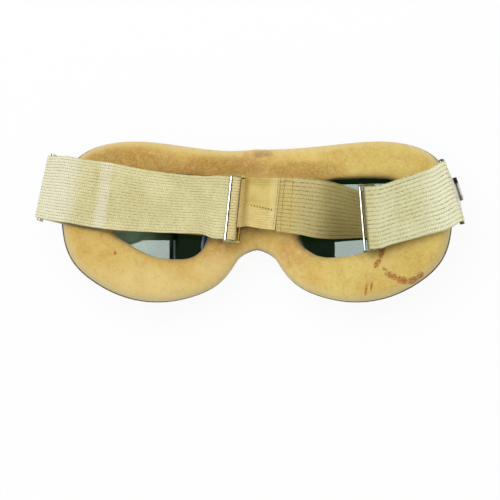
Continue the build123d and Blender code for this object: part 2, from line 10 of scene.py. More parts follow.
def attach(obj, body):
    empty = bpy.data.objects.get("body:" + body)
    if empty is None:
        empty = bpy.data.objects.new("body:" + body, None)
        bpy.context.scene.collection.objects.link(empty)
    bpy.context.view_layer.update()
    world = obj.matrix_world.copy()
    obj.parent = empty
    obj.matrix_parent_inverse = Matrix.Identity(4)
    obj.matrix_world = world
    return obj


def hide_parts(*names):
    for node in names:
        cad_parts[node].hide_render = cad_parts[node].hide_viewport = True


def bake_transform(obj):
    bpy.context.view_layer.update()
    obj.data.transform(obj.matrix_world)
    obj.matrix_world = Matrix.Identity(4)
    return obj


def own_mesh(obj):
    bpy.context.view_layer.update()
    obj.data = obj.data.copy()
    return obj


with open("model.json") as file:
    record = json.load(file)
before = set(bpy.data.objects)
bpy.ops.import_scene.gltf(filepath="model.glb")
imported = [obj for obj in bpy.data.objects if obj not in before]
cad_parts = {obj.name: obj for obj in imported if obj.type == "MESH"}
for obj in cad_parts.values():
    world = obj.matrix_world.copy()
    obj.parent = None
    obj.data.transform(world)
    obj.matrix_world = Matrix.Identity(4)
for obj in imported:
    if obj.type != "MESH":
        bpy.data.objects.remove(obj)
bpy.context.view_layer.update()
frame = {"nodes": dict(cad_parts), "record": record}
nodes = frame["nodes"]
MM = 0.001

# ---- camera ----
PICTURE = 500
PIXELS_PER_MM = 1.98
SCALE = PIXELS_PER_MM * 1000
SENSOR = 36.0
LEAN = math.radians(3.4)
DISTANCE = 2.5
TARGET = Vector((0.03, -14.64, 27.0)) * MM
BACK = Vector((0, -math.sin(LEAN), math.cos(LEAN)))
UP = Vector((0, math.cos(LEAN), math.sin(LEAN)))

# ---- heights at which places in the picture are read ----
LENS_FACE = 6 * MM
PAD_FACE = 24 * MM
STRAP_FACE = 34 * MM


def spot(px, py, z):
    """The point at height z, in metres, that shows at a place in the 500 by 500 picture."""
    eye = TARGET + BACK * DISTANCE
    across = Vector((1, 0, 0)) * ((px - PICTURE / 2) / SCALE / DISTANCE)
    ray = UP * ((PICTURE / 2 - py) / SCALE / DISTANCE) + across - BACK
    return eye + ray * ((z - eye.z) / ray.z)


# ---- places and sizes that the model's source also holds ----
HINGE_X = 3.5667 * MM
SAG_REACH = 88 * MM
LEVEL_LEFT, LEVEL_GAIN, STRAP_SAG = 35.319, 0.242, 4.2
SLIDE_RISE = 3.5 * MM
WEB_HALF = 15.875 * MM
WEB_THICKNESS = 1.2 * MM
TAPE_THICKNESS = 1.1 * MM
LEFT_EYE_X, RIGHT_EYE_X = -44 * MM, 51 * MM


def level(x):
    """Height of the underside of the lower webbing over the pad, in metres."""
    share = max(-1.0, min(1.0, (x - HINGE_X) / SAG_REACH))
    return (LEVEL_LEFT + LEVEL_GAIN * (1 + share) / 2 - STRAP_SAG * (1 - share * share)) * MM


def slide_frame(x, y, yaw, slope):
    """The middle of a slide's centre bar and its directions: along the strap, along the bar, up."""
    centre = Vector((x * MM, y * MM, level(x * MM) + SLIDE_RISE))
    turn = math.radians(yaw)
    along = Vector((math.cos(turn), math.sin(turn), slope)).normalized()
    bar = Vector((-math.sin(turn), math.cos(turn), 0))
    return centre, along, bar, along.cross(bar)


def bar_frame(bar, lean, side):
    """A loop's bar and its directions: outwards, along the bar, up."""
    lean = math.radians(lean)
    out = Vector((side * math.cos(lean), math.sin(lean), 0))
    return bar, out, Vector((-side * math.sin(lean), math.cos(lean), 0)), Vector((0, 0, 1))


LEFT_SLIDE = slide_frame(-7.7333, 5.7968, -5.8, -0.0109)
RIGHT_SLIDE = slide_frame(59.9667, 0.8968, 4.7, 0.0626)
LEFT_LOOP = bar_frame(Vector((-102.9744, 16.4471, 37.3689)) * MM, 12, -1)
RIGHT_LOOP = bar_frame(Vector((101.1915, 14.1051, 37.6106)) * MM, 18, 1)


# ---- mesh helpers ----
def add_object(name, data):
    """A new object in the scene, holding a mesh, lamp or camera."""
    obj = bpy.data.objects.new(name, data)
    bpy.context.scene.collection.objects.link(obj)
    return obj


def new_object(name, verts, faces):
    """A new smooth-shaded mesh object."""
    mesh = bpy.data.meshes.new(name)
    mesh.from_pydata([tuple(v) for v in verts], [], faces)
    mesh.update()
    mesh.polygons.foreach_set("use_smooth", [True] * len(mesh.polygons))
    return add_object(name, mesh)


def read_points(obj, what="co"):
    """The places of an object's points, or their normals, a row each."""
    values = np.zeros(len(obj.data.vertices) * 3)
    obj.data.vertices.foreach_get(what, values)
    return values.reshape(-1, 3)


def write_points(obj, co):
    obj.data.vertices.foreach_set("co", co.reshape(-1))
    obj.data.update()


def attribute(obj, name, values):
    """Keeps a number for each point of an object, for the materials."""
    made = obj.data.attributes.new(name, "FLOAT", "POINT")
    made.data.foreach_set("value", np.asarray(values, np.float32))


def rest_place(obj):
    """Keeps each point's place at rest, in millimetres, for the materials."""
    made = obj.data.attributes.new("rest", "FLOAT_VECTOR", "POINT")
    made.data.foreach_set("vector", (read_points(obj) * 1000).reshape(-1).astype(np.float32))


def smooth_line(points, step):
    """Points along a Catmull-Rom curve through both edges' points, about a step apart."""
    p = np.array(points, float)
    p = np.vstack([2 * p[0] - p[1], p, 2 * p[-1] - p[-2]])
    out = []
    for i in range(1, len(p) - 2):
        a, b, c, d = p[i - 1 : i + 3]
        count = max(1, int(math.ceil(np.linalg.norm(c - b) / math.sqrt(len(b) / 3) / step)))
        for t in np.arange(count) / count:
            square = (2 * a - 5 * b + 4 * c - d) * t * t
            cube = (3 * b - a - 3 * c + d) * t * t * t
            out.append(0.5 * (2 * b + (c - a) * t + square + cube))
    out.append(p[-2])
    return np.array(out)


INNER_COLUMNS, EDGE_COLUMNS = 40, 3
WAVE, WAVE_SCALE = 0.12 * MM, 90
FRAY, FRAY_SCALE = 0.15 * MM, 140
EDGE_THINNESS = 0.3
weave_end = {}


def ribbon(name, high, low, thickness, step=1.2 * MM, after=None, seed=0.0):
    """A strip of webbing between its brow-side edge and its cheek-side edge, at mid thickness.
    Its weave goes on from where another strip ended."""
    both = smooth_line(np.hstack([np.array(high, float), np.array(low, float)]), step)
    a, b = both[:, :3], both[:, 3:]
    inner = np.linspace(0.03, 0.97, INNER_COLUMNS)
    shares = np.concatenate([[0, 0.004, 0.012], inner, [0.988, 0.996, 1]])
    grid = b[:, None] * (1 - shares[None, :, None]) + a[:, None] * shares[None, :, None]
    mid = (a + b) / 2
    length = np.concatenate([[0], np.cumsum(np.linalg.norm(np.diff(mid, axis=0), axis=1))])
    length = length + weave_end.get(after, 0.0)
    weave_end[name] = length[-1]
    du = np.gradient(grid, axis=0)
    dv = np.gradient(grid, axis=1)
    normal = np.cross(du, dv)
    normal /= np.linalg.norm(normal, axis=2)[..., None]
    rows, cols = grid.shape[:2]
    for i in range(rows):
        for j in range(cols):
            q = Vector((length[i] * WAVE_SCALE, shares[j] * 2.2 + seed, seed))
            grid[i, j] += normal[i, j] * WAVE * noise.noise(q)
            if j < EDGE_COLUMNS or j >= cols - EDGE_COLUMNS:
                slip = noise.noise(Vector((length[i] * FRAY_SCALE, seed + 7, j // 4)))
                grid[i, j] += dv[i, j] / np.linalg.norm(dv[i, j]) * FRAY * slip
    width = np.linalg.norm(a - b, axis=1).mean()
    edge = np.minimum(shares, 1 - shares) * width
    near = np.clip(edge / (thickness / 2), 0, 1)
    half = thickness / 2 * np.maximum(EDGE_THINNESS, np.sqrt(1 - (1 - near) ** 2))
    top = grid + normal * half[None, :, None]
    under = grid - normal * half[None, :, None]
    verts = np.concatenate([top.reshape(-1, 3), under.reshape(-1, 3)])
    base = rows * cols
    faces = []
    for i in range(rows - 1):
        for j in range(cols - 1):
            k = i * cols + j
            faces.append((k, k + cols, k + cols + 1, k + 1))
            faces.append((base + k, base + k + 1, base + k + cols + 1, base + k + cols))
        k, m = i * cols, i * cols + cols - 1
        faces.append((k, base + k, base + k + cols, k + cols))
        faces.append((m, m + cols, base + m + cols, base + m))
    along = np.tile(np.repeat(length * 1000, cols), 2)
    across = np.tile(np.tile(shares, rows), 2)
    for row, turned in ((0, False), (rows - 1, True)):
        ring = np.arange(cols) + row * cols
        here = len(verts)
        for side in (ring, ring + base):
            verts = np.concatenate([verts, verts[side]])
            along = np.concatenate([along, along[side]])
            across = np.concatenate([across, across[side]])
        for j in range(here, here + cols - 1):
            face = (j, j + 1, j + cols + 1, j + cols)
            faces.append(face[::-1] if turned else face)
    obj = new_object(name, verts, faces)
    attribute(obj, "along", along)
    attribute(obj, "across", across)
    rest_place(obj)
    return obj


# ---- shader helpers ----
class Shade:
    """A material under construction, with one Principled shader."""

    def __init__(self, name, rough=0.5, **settings):
        self.material = bpy.data.materials.new(name)
        self.material.use_nodes = True
        self.tree = self.material.node_tree
        self.bsdf = self.tree.nodes["Principled BSDF"]
        self.bsdf.inputs["Roughness"].default_value = rough
        for key, value in settings.items():
            self.bsdf.inputs[key.replace("_", " ")].default_value = value

    def node(self, kind, inputs=None, **settings):
        made = self.tree.nodes.new(kind)
        for key, value in settings.items():
            setattr(made, key, value)
        for key, value in (inputs or {}).items():
            self.feed(made, key, value)
        return made

    def feed(self, node, key, value):
        socket = node.inputs[key]
        if isinstance(value, bpy.types.NodeSocket):
            self.tree.links.new(value, socket)
        else:
            socket.default_value = value

    def math(self, operation, *values):
        return self.node("ShaderNodeMath", dict(enumerate(values)), operation=operation).outputs[0]

    def times(self, a, b):
        return self.math("MULTIPLY", a, b)

    def plus(self, a, b):
        return self.math("ADD", a, b)

    def minus(self, a, b):
        return self.math("SUBTRACT", a, b)

    def most(self, a, b):
        return self.math("MAXIMUM", a, b)

    def stripe(self, value):
        """0 in the middle of each whole step of a value, and 1 at its ends."""
        part = self.minus(self.math("FRACT", value), 0.5)
        return self.times(self.math("ABSOLUTE", part), 2.0)

    def mix(self, share, one, two, blend="MIX"):
        inputs = {0: share, 6: one, 7: two}
        return self.node("ShaderNodeMix", inputs, data_type="RGBA", blend_type=blend).outputs[2]

    def mix_shader(self, share, one, two):
        return self.node("ShaderNodeMixShader", {0: share, 1: one, 2: two}).outputs[0]

    def noise(self, place, scale, detail=3.0, rough=0.55, distortion=0.0):
        inputs = {"Vector": place, "Scale": scale, "Detail": detail, "Roughness": rough}
        inputs["Distortion"] = distortion
        return self.node("ShaderNodeTexNoise", inputs).outputs["Fac"]

    def ramp(self, value, low, high, from_value=0.0, to_value=1.0):
        inputs = dict(enumerate((value, low, high, from_value, to_value)))
        return self.node("ShaderNodeMapRange", inputs, interpolation_type="SMOOTHSTEP").outputs[0]

    def value(self, name):
        return self.node("ShaderNodeAttribute", attribute_name=name).outputs["Fac"]

    def vector(self, name):
        return self.node("ShaderNodeAttribute", attribute_name=name).outputs["Vector"]

    def own_place(self):
        return self.node("ShaderNodeTexCoord").outputs["Object"]

    def vector_math(self, operation, inputs):
        return self.node("ShaderNodeVectorMath", inputs, operation=operation).outputs

    def split(self, vector):
        return self.node("ShaderNodeSeparateXYZ", {0: vector}).outputs

    def join(self, x, y, z):
        return self.node("ShaderNodeCombineXYZ", {0: x, 1: y, 2: z}).outputs[0]

    def bump(self, height, distance, strength=1.0):
        inputs = {"Height": height, "Distance": distance, "Strength": strength}
        self.feed(self.bsdf, "Normal", self.node("ShaderNodeBump", inputs).outputs[0])

    def colour(self, value):
        self.feed(self.bsdf, "Base Color", value)

    def show(self, shader):
        self.feed(self.tree.nodes["Material Output"], 0, shader)


def rgb(r, g, b):
    """A colour given as it shows, as the shader wants it."""
    linear = (((c / 255 + 0.055) / 1.055) ** 2.4 if c > 10 else c / 3294.6 for c in (r, g, b))
    return (*linear, 1.0)


# ---- materials ----
def spots(s, place, marks):
    """How far a point is inside any of a set of soft marks, each x, y, reach x, reach y, lean."""
    x, y, _ = s.split(place)
    total = None
    for cx, cy, rx, ry, lean in marks:
        c, n = math.cos(math.radians(lean)), math.sin(math.radians(lean))
        dx = s.minus(x, cx)
        dy = s.minus(y, cy)
        u = s.math("DIVIDE", s.plus(s.times(dx, c), s.times(dy, n)), rx)
        v = s.math("DIVIDE", s.minus(s.times(dy, c), s.times(dx, n)), ry)
        inside = s.ramp(s.plus(s.times(u, u), s.times(v, v)), 1.0, 0.0)
        total = inside if total is None else s.most(total, inside)
    return total


def pad_spots(s, place, *marks):
    """Soft marks on the pad, each at a place in the picture, with its reach in pixels and lean."""
    found = []
    for px, py, reach_x, reach_y, lean in marks:
        p = spot(px, py, PAD_FACE) * 1000
        found.append((p.x, p.y, reach_x / PIXELS_PER_MM, reach_y / PIXELS_PER_MM, lean))
    return spots(s, place, found)


RUST_MARKS = (
    (381.5, 253, 3.5, 10.5, -14),
    (377, 264, 3.3, 7.5, -32),
    (384, 270, 3.4, 1.7, -35),
    (391, 276.5, 9, 4.5, -25),
    (402, 281, 9.5, 5.0, -12),
    (412, 281, 8.5, 4.5, 15),
    (419.5, 276.5, 6, 4.0, 40),
    (366, 290, 2, 7.5, -8),
    (371, 287, 1.7, 6.5, -8),
    (115.5, 254, 2.1, 3.0, 15),
)


def chamois():
    """Napped buff leather: browned by sweat at the brow and nose, rust-marked, with painted
    highlights that make it pale at its rim and along its lower edge.
    """
    s = Shade("chamois", rough=0.86, Sheen_Weight=0.25, Sheen_Roughness=0.5, Specular_IOR_Level=0.2)
    place = s.vector("rest")
    broad = s.noise(place, 0.035, 3.0)
    mid = s.noise(place, 0.12, 4.0, 0.6, 0.4)
    fine = s.noise(place, 0.9, 3.0, 0.6)
    grain = s.noise(place, 3.2, 2.0, 0.6)
    blotch = s.noise(place, 0.3, 3.0, 0.65, 0.6)
    flake = s.noise(place, 1.3, 3.0, 0.75)
    x = s.split(place)[0]
    base = s.mix(s.ramp(broad, 0.38, 0.62), rgb(222, 187, 96), rgb(233, 205, 118))
    brow = pad_spots(
        s, place, (130, 166, 85, 24, -6), (215, 168, 90, 15, 0), (300, 170, 60, 12, 0)
    )
    base = s.mix(s.times(brow, s.ramp(mid, 0.2, 0.75, 0.45, 1.0)), base, rgb(172, 129, 58))
    nose = pad_spots(
        s, place, (292, 252, 26, 20, -45), (218, 250, 22, 16, 40), (258, 160, 26, 12, 0)
    )
    base = s.mix(s.times(nose, s.ramp(mid, 0.35, 0.65, 0.1, 0.75)), base, rgb(204, 152, 92))
    for cloud, low, high, most, tone in (
        (mid, 0.45, 0.68, 0.5, rgb(212, 166, 84)),
        (blotch, 0.5, 0.7, 0.45, rgb(206, 160, 82)),
        (blotch, 0.5, 0.3, 0.35, rgb(236, 214, 140)),
        (fine, 0.4, 0.7, 0.35, rgb(240, 218, 152)),
        (grain, 0.35, 0.65, 0.24, rgb(172, 128, 62)),
    ):
        base = s.mix(s.ramp(cloud, low, high, 0.0, most), base, tone)
    warm = s.mix(1.0, base, rgb(250, 246, 244), "MULTIPLY")
    base = s.mix(s.ramp(x, -30.0, 50.0), warm, base)
    cool = s.mix(1.0, base, rgb(250, 255, 255), "MULTIPLY")
    base = s.mix(s.ramp(x, 10.0, 60.0), base, cool)
    # Painted highlight: a pale band where the lower edge rolls over towards the light.
    pale = pad_spots(s, place, (140, 286, 80, 26, 0), (214, 268, 28, 18, 30))
    base = s.mix(s.times(pale, 0.34), base, rgb(244, 224, 160))
    # Painted highlight along the rim, where the cushion slopes away from its eye.
    base = s.mix(s.ramp(s.value("rim"), 0.15, 0.75, 0.0, 0.45), base, rgb(232, 216, 158))
    grey = pad_spots(s, place, (262, 154, 13, 5, 8), (224, 240, 9, 5, 30), (437, 160, 8, 3, -45))
    base = s.mix(s.times(grey, s.ramp(fine, 0.3, 0.6, 0.1, 0.6)), base, rgb(120, 108, 92))
    rust = pad_spots(s, place, *RUST_MARKS)
    base = s.mix(s.ramp(rust, 0.05, 0.8, 0.0, 0.4), base, rgb(190, 128, 56))
    rust = s.ramp(s.plus(rust, s.ramp(flake, 0.4, 0.6, -0.95, 0.05)), 0.0, 0.35)
    s.colour(s.mix(s.times(rust, 0.75), base, rgb(154, 88, 36)))
    s.bump(s.plus(s.times(grain, 0.4), fine), 0.25 * MM, 0.6)
    return s.material


def backing_cloth():
    s = Shade("backing_cloth", rough=0.7, Specular_IOR_Level=0.3)
    place = s.vector("rest")
    wear = s.ramp(s.noise(place, 0.5, 4.0, 0.65), 0.5, 0.75, 0.0, 0.7)
    s.colour(s.mix(wear, rgb(116, 112, 88), rgb(176, 158, 116)))
    s.bump(s.noise(place, 2.5, 2.0), 0.15 * MM, 0.6)
    return s.material


def webbing(name, ribs, light, shade, line, marks=(), edge=0.6, depth=0.62, dashes=0.5):
    """Ribbed elastic: pale cords side by side, with thin dark lines between them.
    A mark is how far along it lies, its reach, its colour and its share; some marks are painted
    shade."""
    s = Shade(name, rough=0.8, Sheen_Weight=0.1, Specular_IOR_Level=0.25)
    along, across, place = s.value("along"), s.value("across"), s.vector("rest")
    wobble = s.noise(s.join(s.times(along, 0.06), s.times(across, 3.0), 0.0), 1.0)
    rib = s.plus(s.times(across, float(ribs)), s.times(wobble, 0.25))
    cell = s.math("FLOOR", rib)
    away = s.stripe(rib)
    knot = s.stripe(s.plus(s.times(along, 0.9), s.times(cell, 0.5)))
    broad = s.noise(place, 0.05, 3.0)
    patch = s.noise(place, 0.16, 2.0)
    speck = s.noise(place, 1.6, 3.0, 0.7)
    per_rib = s.noise(s.join(s.times(along, 0.02), cell, 0.0), 1.7, 1.0)
    dash = s.noise(s.join(s.times(along, 0.75), s.times(rib, 1.9), 0.0), 1.0, 2.0, 0.7)
    base = s.mix(s.ramp(broad, 0.4, 0.62), shade, light)
    base = s.mix(s.ramp(per_rib, 0.35, 0.65, 0.0, 0.3), base, shade)
    paler = tuple(1 - 0.55 * (1 - c) for c in light)
    base = s.mix(s.ramp(dash, 0.48, 0.68, 0.0, dashes), base, paler)
    for middle, reach, colour, share in marks:
        near = s.math("DIVIDE", s.minus(along, middle), reach)
        base = s.mix(s.ramp(s.times(near, near), 1.0, 0.0, 0.0, share), base, colour)
    base = s.mix(s.ramp(speck, 0.5, 0.8, 0.0, 0.25), base, line)
    base = s.mix(s.ramp(knot, 0.55, 1.0, 0.0, 0.22), base, line)
    broken = s.times(s.ramp(away, edge, 1.0), s.ramp(dash, 0.34, 0.6, 1.0, 0.3))
    broken = s.times(broken, s.ramp(patch, 0.35, 0.65, 0.65, 1.0))
    s.colour(s.mix(s.times(broken, depth), base, line))
    crown = s.minus(1.0, s.math("POWER", away, 3.0))
    height = s.plus(s.times(knot, -0.3), crown)
    s.bump(s.plus(s.times(dash, 0.8), height), 0.25 * MM, 0.8)
    return s.material


def plain_tape():
    """Plain woven tape: fine ribs along it, crossed by the weave, pale at its sewn end, and
    darkened with painted shade where it comes out from under the slide's fold.
    """
    s = Shade("woven_tape", rough=0.85, Sheen_Weight=0.1, Specular_IOR_Level=0.2)
    along, across, place = s.value("along"), s.value("across"), s.vector("rest")
    rib = s.times(across, 22.0)
    cell = s.math("FLOOR", rib)
    away = s.stripe(rib)
    knot = s.stripe(s.plus(s.times(along, 0.8), s.times(cell, 0.5)))
    dash = s.noise(s.join(s.times(along, 0.3), s.times(cell, 3.7), 0.0), 1.0, 2.0)
    broad = s.noise(place, 0.12, 3.0)
    speck = s.noise(place, 1.8, 3.0, 0.7)
    # Painted shade: darker brown where the tape comes out from under the slide's fold.
    near = s.ramp(along, 7.5, 2.5)
    low = s.ramp(across, 0.5, 0.3)
    high = s.ramp(across, 0.8, 0.94)
    base = s.mix(s.ramp(broad, 0.35, 0.65), rgb(214, 188, 106), rgb(226, 203, 126))
    base = s.mix(s.times(low, 0.7), base, rgb(242, 220, 150))
    base = s.mix(s.times(near, 0.5), base, rgb(176, 140, 70))
    base = s.mix(s.times(high, 0.35), base, rgb(190, 162, 90))
    base = s.mix(s.ramp(along, 15.5, 17.0, 0.0, 0.45), base, rgb(240, 226, 164))
    base = s.mix(s.ramp(speck, 0.55, 0.8, 0.0, 0.3), base, rgb(150, 116, 54))
    depth = s.plus(0.16, s.times(s.most(s.most(near, low), high), 0.34))
    groove = s.times(s.ramp(away, 0.3, 1.0), s.ramp(dash, 0.35, 0.65, 0.2, 1.0))
    base = s.mix(s.times(groove, depth), base, rgb(138, 104, 46))
    woven = s.times(s.ramp(knot, 0.5, 1.0), s.times(depth, 0.5))
    s.colour(s.mix(woven, base, rgb(150, 116, 56)))
    s.bump(s.minus(s.times(knot, 0.5), away), 0.2 * MM, 0.6)
    return s.material


def metal(name, colour, dull, rough, tarnish=0.5):
    """Plated metal with a scatter of tarnish."""
    s = Shade(name, rough=rough, Metallic=1.0)
    place = s.own_place()
    cloud = s.noise(place, 420.0, 6.0, 0.7)
    s.colour(s.mix(s.times(s.ramp(cloud, 0.4, 0.75), tarnish), colour, dull))
    s.feed(s.bsdf, "Roughness", s.ramp(cloud, 0.3, 0.75, rough, min(1.0, rough + 0.25)))
    s.bump(s.noise(place, 1500.0, 3.0, 0.6), 0.03 * MM, 0.5)
    return s.material


def bar_metal(name, where, polish, dull, first=-1.0, worn_and_shade=None):
    """Bright along a bar, dull on what joins its ends and on the bars after the first, which ends
    that many millimetres from the middle one. The last bar can take a worn brass tone, darkened
    as painted shade so that it passes for the shaded pad under the fold."""
    s = Shade(name, rough=0.2, Metallic=1.0)
    place = s.own_place()
    cloud = s.noise(place, 260.0, 4.0, 0.6)
    centre, along, bar, _ = where
    away = s.vector_math("SUBTRACT", {0: place, 1: tuple(centre)})[0]
    on_bar = s.vector_math("DOT_PRODUCT", {0: away, 1: tuple(bar)})["Value"]
    on_strap = s.vector_math("DOT_PRODUCT", {0: away, 1: tuple(along)})["Value"]
    end = s.ramp(s.math("ABSOLUTE", on_bar), 15.9 * MM, 16.3 * MM)
    end = s.most(end, s.ramp(on_strap, first * MM, (first + 0.2) * MM))
    bright = s.mix(s.ramp(cloud, 0.5, 0.75, 0.0, 0.5), polish, rgb(130, 124, 106))
    base = s.mix(end, bright, dull)
    # Worn brass tone on the last bar, darkened as painted shade to pass for the shade under the
    # fold.
    if worn_and_shade:
        base = s.mix(s.ramp(on_strap, 1.6 * MM, 2.4 * MM), base, worn_and_shade)
    s.colour(base)
    s.feed(s.bsdf, "Roughness", s.plus(s.ramp(cloud, 0.3, 0.75, 0.16, 0.3), s.times(end, 0.35)))
    s.bump(s.noise(place, 1500.0, 3.0), 0.03 * MM, 0.5)
    return s.material


def enamel():
    s = Shade("cup_enamel", rough=0.4)
    place = s.own_place()
    cloud = s.noise(place, 180.0, 4.0, 0.6)
    chip = s.noise(place, 420.0, 3.0, 0.7)
    base = s.mix(s.ramp(cloud, 0.4, 0.65), rgb(46, 48, 44), rgb(62, 62, 54))
    s.colour(s.mix(s.ramp(chip, 0.68, 0.72), base, rgb(118, 110, 88)))
    s.bump(s.noise(place, 900.0, 2.0), 0.04 * MM, 0.6)
    return s.material


def green_glass():
    """Dark green glass. On the inner face of the wearer's left lens, a painted reflection: a pale
    patch, a pale edge round a zone with no reflection, and a white and a blue glint.
    """
    s = Shade("green_glass", rough=0.02, IOR=1.45, Transmission_Weight=0.9)
    place = s.own_place()
    cloud = s.noise(place, 120.0, 3.0, 0.6)
    dust = s.noise(place, 900.0, 3.0, 0.7)
    s.feed(s.bsdf, "Roughness", s.ramp(dust, 0.55, 0.8, 0.015, 0.07))
    lens_mm = s.vector_math("SCALE", {0: place, "Scale": 1000.0})[0]
    facing = s.split(s.node("ShaderNodeTexCoord").outputs["Normal"])[2]
    inner = s.ramp(facing, 0.2, 0.5)

    def reflection_mark(px, py, reach_x, reach_y, lean):
        """A painted mark on the lens's inner face, at a place in the picture."""
        p = spot(px, py, LENS_FACE) * 1000
        return s.times(spots(s, lens_mm, [(p.x, p.y, reach_x, reach_y, lean)]), inner)

    # Painted reflection, made opaque on the inner face: a pale hazy patch, a pale edge round the
    # dulled zone, and a white and a blue glint.
    reflection_haze = s.times(reflection_mark(112, 236, 36.0, 30.0, 0), s.ramp(cloud, 0.2, 0.7, 0.9, 1.0))
    dulled = reflection_mark(118, 233, 15.85, 7.2, 0)
    glint = reflection_mark(202.6, 242.5, 0.9, 5.0, -8)
    blue_glint = reflection_mark(205.2, 240.5, 1.3, 5.0, -8)
    reflection_share = s.most(reflection_haze, s.most(glint, blue_glint))
    base = s.mix(s.ramp(cloud, 0.3, 0.7), (0.004, 0.013, 0.004, 1), (0.006, 0.017, 0.006, 1))
    base = s.mix(s.ramp(reflection_share, 0.1, 0.3), base, (0.06, 0.13, 0.06, 1))
    base = s.mix(s.math("POWER", reflection_haze, 4.0), base, rgb(212, 254, 214))
    reflection_edge = s.times(s.ramp(dulled, 0.6, 0.0), s.ramp(dulled, 0.0, 0.1))
    base = s.mix(reflection_edge, base, rgb(150, 190, 156))
    base = s.mix(s.ramp(blue_glint, 0.2, 0.9, 0.0, 0.8), base, rgb(74, 118, 172))
    s.colour(s.mix(s.ramp(glint, 0.2, 0.8), base, rgb(222, 236, 248)))
    s.feed(s.bsdf, "Transmission Weight", s.ramp(reflection_share, 0.0, 0.12, 0.9, 0.0))
    s.feed(s.bsdf, "Specular IOR Level", s.ramp(dulled, 0.0, 0.1, 0.5, 0.0))
    return s.material


def rubber():
    s = Shade("gasket_rubber", rough=0.75, Specular_IOR_Level=0.3)
    place = s.own_place()
    s.colour(s.mix(s.noise(place, 400.0), rgb(34, 34, 32), rgb(52, 50, 46)))
    s.bump(s.noise(place, 1200.0, 2.0), 0.05 * MM, 0.6)
    return s.material


def thread(name, colour, dark):
    s = Shade(name, rough=0.8, Specular_IOR_Level=0.2)
    place = s.own_place()
    s.colour(s.mix(s.ramp(s.noise(place, 900.0, 3.0), 0.35, 0.65), colour, dark))
    s.bump(s.noise(place, 2500.0, 2.0), 0.05 * MM, 0.6)
    return s.material


LEFT_MARKS_AND_SHADE = (
    (42.0, 14.0, rgb(244, 241, 214), 0.8),
    (66.0, 4.0, rgb(244, 240, 214), 0.6),
    # Painted shade: the strap's lower layer, dark where it shows under the upper layer's edge.
    (8.0, 18.0, rgb(112, 100, 56), 0.9),
    (138.0, 6.5, rgb(228, 204, 142), 0.7),
)
RIGHT_MARKS_AND_SHADOW = (
    (50.0, 16.0, rgb(246, 244, 208), 0.9),
    (6.0, 6.0, rgb(212, 200, 140), 0.5),
    # Painted shadow: a dark line where the fold turns round the slide's bar.
    (4.2, 2.4, rgb(70, 58, 26), 0.9),
)
# The first mark is painted shade, darkening the band towards the right slide; the second is the
# sewn overlap's own tone.
BAND_MARKS_AND_SHADE = ((38.0, 20.0, rgb(150, 138, 78), 0.7), (5.0, 7.5, rgb(216, 192, 114), 0.6))
NICKEL = rgb(214, 208, 196)


def web_colours(light, shade, line):
    return rgb(*light), rgb(*shade), rgb(*line)


mats = {
    "chamois": chamois(),
    "backing": backing_cloth(),
    "left_web": webbing(
        "left_webbing",
        22,
        *web_colours((236, 228, 173), (220, 210, 150), (112, 98, 48)),
        LEFT_MARKS_AND_SHADE,
        depth=0.8,
    ),
    "right_web": webbing(
        "right_webbing",
        15,
        *web_colours((229, 226, 180), (215, 211, 156), (104, 98, 56)),
        RIGHT_MARKS_AND_SHADOW,
        edge=0.64,
        depth=0.95,
    ),
    "band_web": webbing(
        "band_webbing",
        14,
        *web_colours((214, 200, 138), (200, 184, 122), (104, 90, 44)),
        BAND_MARKS_AND_SHADE,
        depth=0.85,
        dashes=0.25,
    ),
    # A darker copy of the webbing: painted shade on the lower layer that shows under the tape's
    # edge.
    "shaded_run_web": webbing(
        "shaded_run_webbing",
        14,
        *web_colours((164, 126, 54), (136, 102, 42), (84, 58, 22)),
        dashes=0.0,
    ),
    "tape": plain_tape(),
    "thread": thread("sewing_thread", rgb(160, 134, 76), rgb(104, 82, 42)),
    "dark_thread": thread("dark_thread", rgb(86, 64, 30), rgb(42, 30, 16)),
    "lens_glass": green_glass(),
    "gasket_rubber": rubber(),
    "brass_fitting": metal("brass_fitting", rgb(190, 170, 120), rgb(96, 82, 54), 0.3),
    "nickel_plate": metal("nickel_plate", NICKEL, rgb(120, 112, 96), 0.2, 0.45),
    "gauze_wire": metal("gauze_wire", rgb(140, 122, 84), rgb(60, 52, 38), 0.5),
    "cup_enamel": enamel(),
    "frame_nickel": metal("frame_nickel", rgb(168, 164, 154), rgb(104, 100, 90), 0.28, 0.4),
}
bare = {
    "left_slide": bar_metal(
        "left_slide_metal",
        LEFT_SLIDE,
        rgb(226, 222, 212),
        rgb(96, 88, 62),
        worn_and_shade=rgb(116, 92, 48),
    ),
    "right_slide": bar_metal(
        "right_slide_metal", RIGHT_SLIDE, rgb(196, 190, 176), rgb(74, 66, 42)
    ),
    "left_strap_loop": bar_metal(
        "left_loop_metal", LEFT_LOOP, NICKEL, rgb(222, 216, 200), 40.0
    ),
    "right_strap_loop": bar_metal(
        "right_loop_metal", RIGHT_LOOP, NICKEL, rgb(84, 78, 56), 40.0
    ),
}
for side in ("left", "right"):
    bare[f"{side}_temple_arm"] = metal(
        f"{side}_arm_metal", rgb(232, 230, 224), rgb(160, 156, 146), 0.22
    )
    bare[f"{side}_pivot_screw"] = metal(
        f"{side}_screw_metal", rgb(120, 116, 104), rgb(44, 40, 34), 0.25, 0.9
    )
for part in frame["record"]["subparts"]:
    node = part["node"]
    material = bare.get(node, mats.get(part["material_slot"]))
    if material is not None:
        nodes[node].data.materials.clear()
        nodes[node].data.materials.append(material)


def finish_piece(obj, material):
    """Gives a piece its material."""
    obj.data.materials.append(mats[material])
    return obj


# ---- face pad ----
SIDES = ("left", "bridge", "right")
FINE_VOXEL, QUICK_VOXEL, BACKING_VOXEL = 0.6 * MM, 0.9 * MM, 0.45 * MM
FULL_TURN = 2 * math.pi
